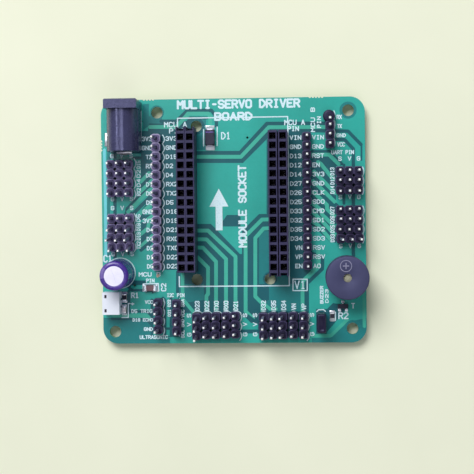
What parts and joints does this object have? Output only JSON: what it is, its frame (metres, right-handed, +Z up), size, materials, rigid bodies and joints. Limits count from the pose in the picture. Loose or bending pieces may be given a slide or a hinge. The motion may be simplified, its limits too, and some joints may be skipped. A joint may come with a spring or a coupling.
{
  "type": "servo driver board",
  "caption": "Rectangular circuit board that takes a plug-in controller and drives hobby servos through pin headers, with a power jack, buzzer and jumper.",
  "frame": {"origin": "centre of the circuit board's underside", "axes": "+X to the board's right, +Y towards the power jack's edge, +Z up through the parts"},
  "size_m": [0.0739, 0.068, 0.0148],
  "materials": {
    "board_green": "glossy green solder mask over copper",
    "black_plastic": "satin moulded black nylon",
    "jack_plastic": "semi-gloss moulded black plastic",
    "tinned_metal": "bright tin plate",
    "contact_metal": "stamped phosphor bronze",
    "capacitor_aluminium": "satin drawn aluminium",
    "capacitor_sleeve": "dark violet shrink sleeve",
    "black_rubber": "matte black rubber",
    "white_nylon": "satin natural white nylon",
    "buzzer_base_board": "laminate disc",
    "copper_winding": "enamelled copper wire",
    "spring_steel": "thin bright steel",
    "component_black": "matte epoxy moulding",
    "component_tan": "fired ceramic",
    "led_lens": "clear epoxy over white body"
  },
  "bodies": {
    "board": {"battery_socket_housing": "white_nylon", "battery_socket_pin_negative": "tinned_metal", "battery_socket_pin_positive": "tinned_metal", "breakout_left_header_housing": "black_plastic", "breakout_left_header_pins": "tinned_metal", "breakout_right_header_housing": "black_plastic", "breakout_right_header_pins": "tinned_metal", "buzzer_base": "buzzer_base_board", "buzzer_case": "jack_plastic", "buzzer_diaphragm": "spring_steel", "buzzer_drive_coil": "copper_winding", "buzzer_lead_negative": "tinned_metal", "buzzer_lead_positive": "tinned_metal", "capacitor_bung": "black_rubber", "capacitor_c2": "component_tan", "capacitor_can": "capacitor_aluminium", "capacitor_lead_negative": "tinned_metal", "capacitor_lead_positive": "tinned_metal", "capacitor_sleeve": "capacitor_sleeve", "circuit_board": "board_green", "dc_jack_centre_pin": "tinned_metal", "dc_jack_housing": "jack_plastic", "dc_jack_sleeve_terminal": "tinned_metal", "dc_jack_switch_contact": "tinned_metal", "diode_d1": "component_black", "i2c_header_housing": "black_plastic", "i2c_header_pins": "tinned_metal", "jumper_header_housing": "black_plastic", "jumper_header_pins": "tinned_metal", "power_led": "led_lens", "resistor_r1": "component_black", "resistor_r2": "component_black", "servo_bottom_left_housing": "black_plastic", "servo_bottom_left_pins": "tinned_metal", "servo_bottom_right_housing": "black_plastic", "servo_bottom_right_pins": "tinned_metal", "servo_lower_left_housing": "black_plastic", "servo_lower_left_pins": "tinned_metal", "servo_lower_right_housing": "black_plastic", "servo_lower_right_pins": "tinned_metal", "servo_upper_left_housing": "black_plastic", "servo_upper_left_pins": "tinned_metal", "servo_upper_right_housing": "black_plastic", "servo_upper_right_pins": "tinned_metal", "socket_strip_a_contacts": "contact_metal", "socket_strip_a_housing": "black_plastic", "socket_strip_b_contacts": "contact_metal", "socket_strip_b_housing": "black_plastic", "socket_strip_c_contacts": "contact_metal", "socket_strip_c_housing": "black_plastic", "socket_strip_d_contacts": "contact_metal", "socket_strip_d_housing": "black_plastic", "transistor_t1": "component_black", "uart_header_housing": "black_plastic", "uart_header_pins": "tinned_metal", "ultrasonic_header_housing": "black_plastic", "ultrasonic_header_pins": "tinned_metal"},
    "jumper": {"jumper_cap": "black_plastic", "jumper_cap_clip": "contact_metal"},
    "jack_leaf": {"dc_jack_spring_leaf": "contact_metal"}
  },
  "joints": [
    {"name": "jumper_lift", "type": "slide", "parent": "board", "child": "jumper", "axis": [0, 0, 1], "range_m": [0, 0.008]},
    {"name": "jack_leaf_flex", "type": "hinge", "parent": "board", "child": "jack_leaf", "pos_m": [-0.02975, 0.0265, 0.00285], "axis": [1, 0, 0], "range_deg": [-7, 0], "stiffness_Nm_per_rad": 0.15}
  ]
}
